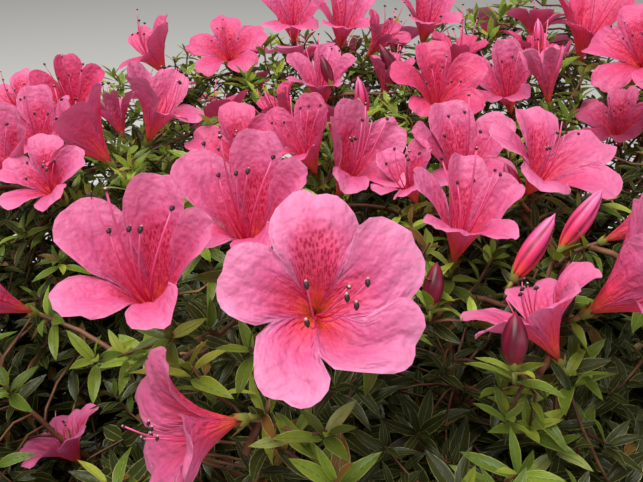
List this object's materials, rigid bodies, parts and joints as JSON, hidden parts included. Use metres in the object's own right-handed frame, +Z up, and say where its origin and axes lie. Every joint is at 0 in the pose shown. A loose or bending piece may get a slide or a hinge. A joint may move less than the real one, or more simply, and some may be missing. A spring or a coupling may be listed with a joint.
{
  "type": "azalea shrub",
  "caption": "Low spreading garden azalea in full rose-pink flower, rooted: a short stem, arching boughs and open masses of twigs, leaves and funnel blossoms.",
  "frame": {"origin": "middle of the flat cut under the short stem, at ground level", "axes": "+Z up from the ground, +X to the right along the longer side of the crown, -Y towards the side the picture looks from"},
  "size_m": [0.8106, 0.6416, 0.4212],
  "materials": {
    "bark": "matte, finely fissured grey-brown bark",
    "flowering_foliage": "soft, mixed rose-pink blossom and green leaf",
    "twig": "matte brown young bark",
    "leaf": "satin, green, slightly glossy upper face",
    "petal": "soft matte petal, rose pink with a darker throat",
    "bud": "soft matte closed petals, crimson",
    "stamen": "smooth thin filaments, dark anthers"
  },
  "bodies": {
    "root": {"bough_mid_1": "bark", "bough_mid_2": "bark", "bough_mid_3": "bark", "bough_mid_4": "bark", "bough_mid_5": "bark", "bough_rim_1": "bark", "bough_rim_10": "bark", "bough_rim_2": "bark", "bough_rim_3": "bark", "bough_rim_4": "bark", "bough_rim_5": "bark", "bough_rim_6": "bark", "bough_rim_7": "bark", "bough_rim_8": "bark", "bough_rim_9": "bark", "bough_top": "bark", "stem": "bark", "foliage_mid_1": "flowering_foliage", "foliage_mid_2": "flowering_foliage", "foliage_mid_3": "flowering_foliage", "foliage_mid_4": "flowering_foliage", "foliage_mid_5": "flowering_foliage", "foliage_rim_1": "flowering_foliage", "foliage_rim_10": "flowering_foliage", "foliage_rim_2": "flowering_foliage", "foliage_rim_3": "flowering_foliage", "foliage_rim_4": "flowering_foliage", "foliage_rim_5": "flowering_foliage", "foliage_rim_6": "flowering_foliage", "foliage_rim_7": "flowering_foliage", "foliage_rim_8": "flowering_foliage", "foliage_rim_9": "flowering_foliage", "foliage_top": "flowering_foliage"}
  },
  "joints": []
}
